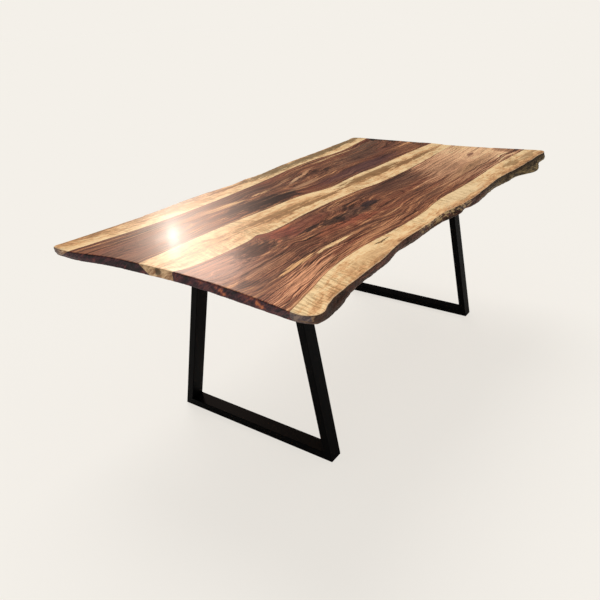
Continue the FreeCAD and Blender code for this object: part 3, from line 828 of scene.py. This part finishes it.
front_inner = [
    (-1.1, 0.040), (-1.03, 0.003), (-0.99, -0.016), (-0.927, -0.026), (-0.73, -0.033),
    (-0.687, -0.029), (-0.652, -0.021), (-0.617, -0.036), (-0.546, -0.040), (-0.377, -0.032),
    (-0.152, -0.036), (0.017, -0.050), (0.101, -0.064), (0.2, -0.071), (0.411, -0.074),
    (0.693, -0.064), (1.1, -0.045),
]
front_outer = [
    (-1.1, -0.452), (-0.927, -0.419), (-0.786, -0.391), (-0.575, -0.381), (-0.392, -0.395),
    (-0.152, -0.402), (-0.038, -0.392), (0.059, -0.388), (0.2, -0.396), (0.482, -0.399),
    (0.623, -0.396), (0.834, -0.405), (1.1, -0.42),
]
front_leans = (0.0, 0.0)
front_knots = [
    (-0.39, -0.168, 0.26, 0.12, -4.0, 0.9),
    (-0.76, -0.110, 0.18, 0.08, 0.0, 0.7),
    (-0.15, -0.172, 0.16, 0.06, 0.0, 0.8),
    (-0.65, -0.020, 0.10, 0.10, 0.0, 0.6),
    (0.84, -0.21, 0.12, 0.06, 0.0, 0.7),
]
front_marks = [
    # The first two marks, the pale tan far end of the heartwood, are the wood's lighter colour with a
    # painted sheen in it.
    (0.74, -0.22, 0.72, 0.27, 3.0, "ecb387", 0.8, "torn"),
    (0.92, -0.22, 0.48, 0.26, 3.0, "fac394", 0.8, "torn"),
    (0.50, -0.26, 0.50, 0.20, 2.0, "7c4c38", 0.45, "thread"),
    (-0.585, -0.100, 0.09, 0.020, 28.0, "4a2420", 0.7, "torn"),
    (-0.560, -0.060, 0.10, 0.016, 6.0, "b8653f", 0.7, "torn"),
    (-0.640, -0.085, 0.06, 0.018, 60.0, "b05c42", 0.6, "torn"),
    (0.98, -0.110, 0.14, 0.06, 0.0, "e8ba88", 0.9, "torn"),
    (0.55, -0.31, 0.50, 0.06, 3.0, "b98960", 0.7, "thread"),
    (0.84, -0.215, 0.06, 0.020, 0.0, "7c4c3c", 0.8, "blot"),
    (1.02, -0.33, 0.09, 0.10, 0.0, "80543c", 0.7, "torn"),
    (-0.92, -0.12, 0.20, 0.14, 0.0, "b0806a", 0.5, "torn"),
    (-0.77, -0.105, 0.15, 0.075, -8.0, "3f2219", 0.8, "blot"),
    (-0.60, -0.070, 0.13, 0.075, -30.0, "8f4536", 0.6, "blot"),
    (-0.45, -0.095, 0.22, 0.060, 0.0, "8e4a38", 0.5, "torn"),
    (-0.34, -0.225, 0.17, 0.060, -6.0, "9a4d36", 0.6, "blot"),
    (-0.48, -0.205, 0.14, 0.040, 6.0, "a2583c", 0.5, "torn"),
    (-0.26, -0.180, 0.17, 0.070, 0.0, "46322b", 0.7, "blot"),
    (-0.40, -0.165, 0.085, 0.042, -6.0, "2a1d1b", 0.8, "blot"),
    (-0.50, -0.143, 0.10, 0.020, 4.0, "2c1e1d", 0.8, "blot"),
    (-0.15, -0.172, 0.10, 0.040, 0.0, "2f2226", 0.85, "blot"),
    (0.17, -0.13, 0.34, 0.10, -4.0, "54362d", 0.7, "torn"),
    (-0.79, -0.283, 0.140, 0.020, 2.0, "e0a973", 1.0, "torn"),
    (-0.59, -0.288, 0.155, 0.017, -1.0, "ecbd88", 1.0, "torn"),
    (-0.86, -0.365, 0.36, 0.066, 7.0, "e29f74", 0.9, "thread"),
    (-0.50, -0.355, 0.42, 0.036, 1.5, "cf9064", 0.8, "thread"),
    (-0.86, -0.215, 0.20, 0.045, 0.0, "b27a58", 0.6, "thread"),
    (0.26, -0.088, 0.26, 0.010, 0.0, "3a241c", 0.9, "torn"),
    (0.24, -0.104, 0.26, 0.008, 0.0, "452c22", 0.8, "torn"),
]
front_sap_marks = [
    (0.14, -0.430, 0.34, 0.060, 0.0, "fcdba8", 0.9),
    (-0.62, -0.440, 0.20, 0.040, 0.0, "edc48e", 0.6),
    (-0.2, 0.030, 0.60, 0.026, -1.4, "9c7249", 0.85),
    (0.55, 0.012, 0.58, 0.046, -1.4, "966b43", 0.9),
    (0.72, -0.45, 0.16, 0.045, 0.0, "a07c52", 0.7),
    (0.92, -0.47, 0.20, 0.040, 0.0, "ad8960", 0.7),
    (-0.50, -0.410, 0.09, 0.008, -6.0, "5b4127", 0.9),
]
front_end_spots = [
    (-0.190, 0.752, 0.050, 0.016, 22.0),
    (-0.335, 0.753, 0.028, 0.012, 15.0),
]
front_hollows = [
    (-0.28, 0.012, 0.030, 0.007, 0.003),
    (-0.20, 0.016, 0.026, 0.009, 0.005),
    (-0.13, 0.010, 0.022, 0.006, 0.004),
    (-0.05, 0.014, 0.020, 0.009, 0.006),
    (0.04, 0.009, 0.025, 0.007, 0.005),
    (0.11, 0.020, 0.022, 0.008, 0.006),
    (0.045, 0.034, 0.040, 0.016, 0.016),
    (0.20, 0.014, 0.014, 0.008, 0.006),
]
front_wood = slab_material("front_slab_wood", FRONT, front_inner, front_outer, front_leans,
                           front_knots, front_marks, front_sap_marks, front_end_spots)
make_slab("front_slab", FRONT, front_wood, front_hollows)

# Rear slab: the darker, purple plank, with a slanted heartwood boundary that shows in its sawn
# near end, and cream streaks along its middle

rear_inner = [
    (-1.1, 0.134), (-0.884, 0.140), (-0.715, 0.143), (-0.546, 0.139), (-0.392, 0.128),
    (-0.293, 0.126), (-0.18, 0.116), (-0.038, 0.081), (0.031, 0.077), (0.101, 0.082),
    (0.27, 0.087), (0.341, 0.080), (0.482, 0.077), (0.693, 0.077), (1.1, 0.063),
]
rear_outer = [
    (-1.1, 0.424), (-0.927, 0.404), (-0.80, 0.389), (-0.462, 0.380), (-0.237, 0.389),
    (-0.038, 0.401), (0.20, 0.425), (0.411, 0.429), (0.552, 0.415), (0.665, 0.415),
    (0.834, 0.436), (1.1, 0.470),
]
rear_leans = (-1.4, 2.0)
rear_knots = [
    (-0.95, 0.25, 0.14, 0.07, 0.0, 0.6),
    (0.10, 0.29, 0.22, 0.08, 14.0, 0.5),
    (-0.30, 0.30, 0.16, 0.06, 0.0, 0.5),
]
rear_marks = [
    (-0.95, 0.24, 0.26, 0.14, 0.0, "8d5f4b", 0.6, "torn"),
    (-0.36, 0.205, 0.32, 0.110, -3.0, "301e1a", 0.75, "blot"),
    (-0.26, 0.175, 0.24, 0.070, -3.0, "241614", 0.75, "blot"),
    (-0.30, 0.34, 0.34, 0.060, 0.0, "4c352c", 0.6, "torn"),
    (0.35, 0.14, 0.60, 0.075, -1.0, "573538", 0.7, "torn"),
    (0.62, 0.28, 0.62, 0.15, 3.0, "56443b", 0.55, "thread"),
    (0.85, 0.37, 0.30, 0.06, 5.0, "6b5848", 0.6, "thread"),
    (-0.46, 0.293, 0.19, 0.026, -4.0, "e0ad78", 1.0, "torn"),
    (-0.60, 0.305, 0.22, 0.022, -4.0, "b98460", 0.7, "torn"),
    (-0.23, 0.286, 0.085, 0.017, 0.0, "d9a775", 0.95, "torn"),
    (-0.02, 0.207, 0.17, 0.024, 2.0, "b98a66", 0.85, "torn"),
    (0.02, 0.285, 0.13, 0.015, 17.0, "cfa27a", 0.9, "torn"),
    (0.10, 0.300, 0.14, 0.014, 14.0, "c29068", 0.85, "torn"),
    (0.17, 0.330, 0.14, 0.013, 12.0, "b5835e", 0.8, "torn"),
    (-0.03, 0.315, 0.14, 0.014, 12.0, "ab7b58", 0.8, "torn"),
    (0.50, 0.385, 0.26, 0.012, 0.0, "cda274", 0.85, "torn"),
    (1.04, 0.36, 0.12, 0.30, 0.0, "1a1411", 1.0, "blot"),
    (1.04, 0.13, 0.10, 0.12, 0.0, "1a1210", 1.0, "blot"),
]
rear_sap_marks = [
    (-0.45, 0.062, 0.55, 0.022, -1.4, "a0754b", 0.8),
    (0.25, 0.042, 0.52, 0.034, -1.4, "936a42", 0.9),
    (-0.24, 0.460, 0.17, 0.022, -2.0, "935f34", 0.85),
    (-0.55, 0.503, 0.62, 0.022, 0.0, "8f6a3c", 0.85),
    (0.40, 0.480, 0.70, 0.046, 1.5, "7f6848", 0.85),
    (0.05, 0.460, 0.30, 0.044, 0.0, "846b47", 0.8),
    (-0.62, 0.465, 0.40, 0.022, 0.0, "b3854f", 0.6),
    (-0.50, 0.425, 0.30, 0.045, 0.0, "d09a5e", 0.7),
    (0.85, 0.505, 0.36, 0.044, 4.0, "826a49", 0.8),
    (-1.0, 0.045, 0.04, 0.02, 0.0, "5d4a3a", 0.7),
]
rear_wood = slab_material("rear_slab_wood", REAR, rear_inner, rear_outer, rear_leans,
                          rear_knots, rear_marks, rear_sap_marks, [])
make_slab("rear_slab", REAR, rear_wood, [])

# ---------------------------------------------------------------------------------------------
# Loose tenons: planed beech, glued into mortises that face each other in the two slabs, which
# they line up while the glue line is clamped
# ---------------------------------------------------------------------------------------------


def dress(nodes, material):
    """Gives CAD nodes a material in place of their plain one."""
    for node in nodes:
        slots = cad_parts[node].data.materials
        slots.clear()
        slots.append(material)


beech, beech_place, beech_surface = start_material("bare_beech")
flecks = grain(beech_place, (500.0, 60.0, 500.0), 3.0, 0.6)
beech_colour = flecks.step(0.35, 0.65).blend(tint("c79f72"), tint("ddb98c"))
plug(beech_surface, {"Base Color": beech_colour, "Roughness": 0.7})
dress(["alignment_tenons"], beech)

# ---------------------------------------------------------------------------------------------
# Channels: folded steel U sections, powder coated satin black, let into the underside to keep
# the top flat; each hangs on four button-head screws in slots, so that the wood can move
# ---------------------------------------------------------------------------------------------

coat, coat_place, coat_surface = start_material("black_powder_coat")
speckle = grain(coat_place, (900.0, 900.0, 900.0), 2.0, 0.5)
smudge = grain(coat_place, (7.0, 7.0, 7.0), 3.0, 0.6)
coat_colour = smudge.step(0.35, 0.7).blend(tint("050506"), tint("0a0a0b"))
orange_peel = coat_place.node("Bump", None, {"Strength": 0.25, "Distance": 0.0002, "Height": speckle})
plug(coat_surface, {
    "Base Color": coat_colour,
    "Roughness": 0.50 + smudge * 0.12,
    "Normal": orange_peel,
    "Specular IOR Level": 0.05,
})
dress([f"{place}_channel" for place in ("near", "middle", "far")], coat)

zinc, zinc_place, zinc_surface = start_material("zinc_plate")
spangle = grain(zinc_place, (240.0, 240.0, 240.0), 2.0, 0.5)
zinc_colour = spangle.step(0.35, 0.65).blend(tint("a9aaa6"), tint("c9c8c2"))
zinc_bump = zinc_place.node("Bump", None, {"Strength": 0.2, "Distance": 0.0002, "Height": spangle})
plug(zinc_surface, {
    "Base Color": zinc_colour,
    "Metallic": 1.0,
    "Roughness": 0.3 + spangle * 0.15,
    "Normal": zinc_bump,
})


def turned(mesh, spot, profile, closed=False):
    """Spins a profile of (radius, height) points round an upright axis through a spot."""
    points = [mesh.verts.new((spot.x + radius, spot.y, height)) for radius, height in profile]
    pairs = list(zip(points, points[1:]))
    if closed:
        pairs.append((points[-1], points[0]))
    edges = [mesh.edges.new(pair) for pair in pairs]
    bmesh.ops.spin(mesh, geom=points + edges, cent=(spot.x, spot.y, 0), axis=(0, 0, 1),
                   angle=2 * math.pi, steps=ROUND_STEPS, use_merge=True)


def shank(mesh, spot, radius, low, high):
    """A screw's shank with a chamfered tip at the top."""
    turned(mesh, spot, [(0, low), (radius, low), (radius, high - radius / 4),
                        (radius * 0.75, high), (0, high)])


def fit_hardware(node, mesh):
    """Finishes a group of fasteners that stands for a CAD node."""
    bmesh.ops.remove_doubles(mesh, verts=mesh.verts, dist=WELD)
    bmesh.ops.recalc_face_normals(mesh, faces=mesh.faces)
    piece = new_piece(f"{node}_hardware", mesh, zinc)
    piece.data.set_sharp_from_angle(angle=math.radians(35))
    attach(piece, "root")
    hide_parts(node)


def fit_inserts(node, bore):
    """Threaded inserts: a bored sleeve with a ribbed outside that bites into its hole."""
    rib = 0.0015
    rib_height = 0.0005
    mesh = bmesh.new()
    for low, high in solid_boxes(node):
        rim = (high.x - low.x) / 2
        count = round((high.z - low.z) / rib)
        step = (high.z - low.z) / count
        outside = []
        for index in range(count):
            base = low.z + index * step
            outside += [(rim - rib_height, base), (rim, base + step / 3), (rim, base + step * 2 / 3)]
        outside.append((rim - rib_height, high.z))
        turned(mesh, (low + high) / 2, [*outside, (bore, high.z), (bore, low.z)], closed=True)
    fit_hardware(node, mesh)


def fit_channel_screws():
    """Button-head screws with a hexagon socket."""
    shank_radius = 0.003
    head_height = 0.0032
    rim_height = 0.0006
    face_radius = 0.0032
    socket_radius = 0.0024
    socket_depth = 0.002
    mesh = bmesh.new()
    for low, high in solid_boxes("channel_screws"):
        spot = (low + high) / 2
        head_radius = (high.x - low.x) / 2
        seat = low.z + head_height
        profile = [(0, seat), (head_radius, seat)]
        for degrees in (0, 20, 40, 60, 80):
            turn = math.radians(degrees)
            reach = face_radius + (head_radius - face_radius) * math.cos(turn)
            rise = rim_height + (head_height - rim_height) * math.sin(turn)
            profile.append((reach, seat - rise))
        profile.append((face_radius, low.z))
        before = set(mesh.edges)
        turned(mesh, spot, profile)
        rim = [edge for edge in mesh.edges if edge not in before and edge.is_boundary
               and all(abs(vert.co.z - low.z) < WELD for vert in edge.verts)]
        place = Matrix.Translation((spot.x, spot.y, low.z))
        hexagon = bmesh.ops.create_circle(mesh, segments=6, radius=socket_radius, matrix=place)["verts"]
        socket = [edge for edge in mesh.edges if all(vert in hexagon for vert in edge.verts)]
        bmesh.ops.bridge_loops(mesh, edges=rim + socket)
        made = bmesh.ops.extrude_edge_only(mesh, edges=socket)["geom"]
        corners = [item for item in made if isinstance(item, bmesh.types.BMVert)]
        bmesh.ops.translate(mesh, verts=corners, vec=(0, 0, socket_depth))
        closing = [item for item in made if isinstance(item, bmesh.types.BMEdge)
                   and all(vert in corners for vert in item.verts)]
        bmesh.ops.contextual_create(mesh, geom=closing)
        shank(mesh, spot, shank_radius, seat, high.z)
    fit_hardware("channel_screws", mesh)


fit_inserts("channel_inserts", bore=0.0031)
fit_channel_screws()

# ---------------------------------------------------------------------------------------------
# Frames: rectangular steel tube, mitred and welded, ground flush and powder coated satin black
# like the channels; rubber pads are stuck under both ends of each foot rail
# ---------------------------------------------------------------------------------------------

ENDS = ("near", "far")
dress([f"{end}_{piece}" for end in ENDS
       for piece in ("mounting_plate", "foot_rail", "front_leg", "rear_leg")], coat)

rubber, rubber_place, rubber_surface = start_material("pad_rubber")
pimples = grain(rubber_place, (1200.0, 1200.0, 1200.0), 2.0, 0.5)
rubber_bump = rubber_place.node("Bump", None, {"Strength": 0.3, "Distance": 0.0002, "Height": pimples})
rubber_colour = pimples.step(0.3, 0.7).blend(tint("131313"), tint("1d1d1d"))
plug(rubber_surface, {"Base Color": rubber_colour, "Roughness": 0.8, "Normal": rubber_bump})
dress([f"{end}_{side}_foot_pad" for end in ENDS for side in ("front", "rear")], rubber)

# ---------------------------------------------------------------------------------------------
# Frame bolts: zinc plated hexagon bolts with flat washers, up through the mounting plate into
# threaded inserts in the wood
# ---------------------------------------------------------------------------------------------


def fit_bolts(node):
    """Hexagon bolts, their heads chamfered below."""
    shank_radius = 0.004
    head_height = 0.005
    chamfer = 0.0006
    mesh = bmesh.new()
    for low, high in solid_boxes(node):
        spot = (low + high) / 2
        seat = low.z + head_height
        radius = max(high.x - low.x, high.y - low.y) / 2
        place = Matrix.Translation((spot.x, spot.y, low.z + head_height / 2))
        head = bmesh.ops.create_cone(mesh, cap_ends=True, segments=6, radius1=radius, radius2=radius,
                                     depth=head_height, matrix=place)["verts"]
        rim = [edge for edge in mesh.edges
               if all(vert in head and vert.co.z < seat - WELD for vert in edge.verts)]
        bmesh.ops.bevel(mesh, geom=rim, offset=chamfer, affect="EDGES", segments=2, profile=0.5,
                        material=-1)
        shank(mesh, spot, shank_radius, seat, high.z)
    fit_hardware(node, mesh)


def fit_washers(node):
    """Flat washers with a small bevel outside."""
    bore = 0.0043
    bevel = 0.0003
    mesh = bmesh.new()
    for low, high in solid_boxes(node):
        rim = (high.x - low.x) / 2
        profile = [(bore, low.z), (rim - bevel, low.z), (rim, low.z + bevel),
                   (rim, high.z - bevel), (rim - bevel, high.z), (bore, high.z)]
        turned(mesh, (low + high) / 2, profile, closed=True)
    fit_hardware(node, mesh)


for end in ENDS:
    fit_inserts(f"{end}_frame_inserts", bore=0.0041)
    fit_washers(f"{end}_frame_washers")
    fit_bolts(f"{end}_frame_bolts")
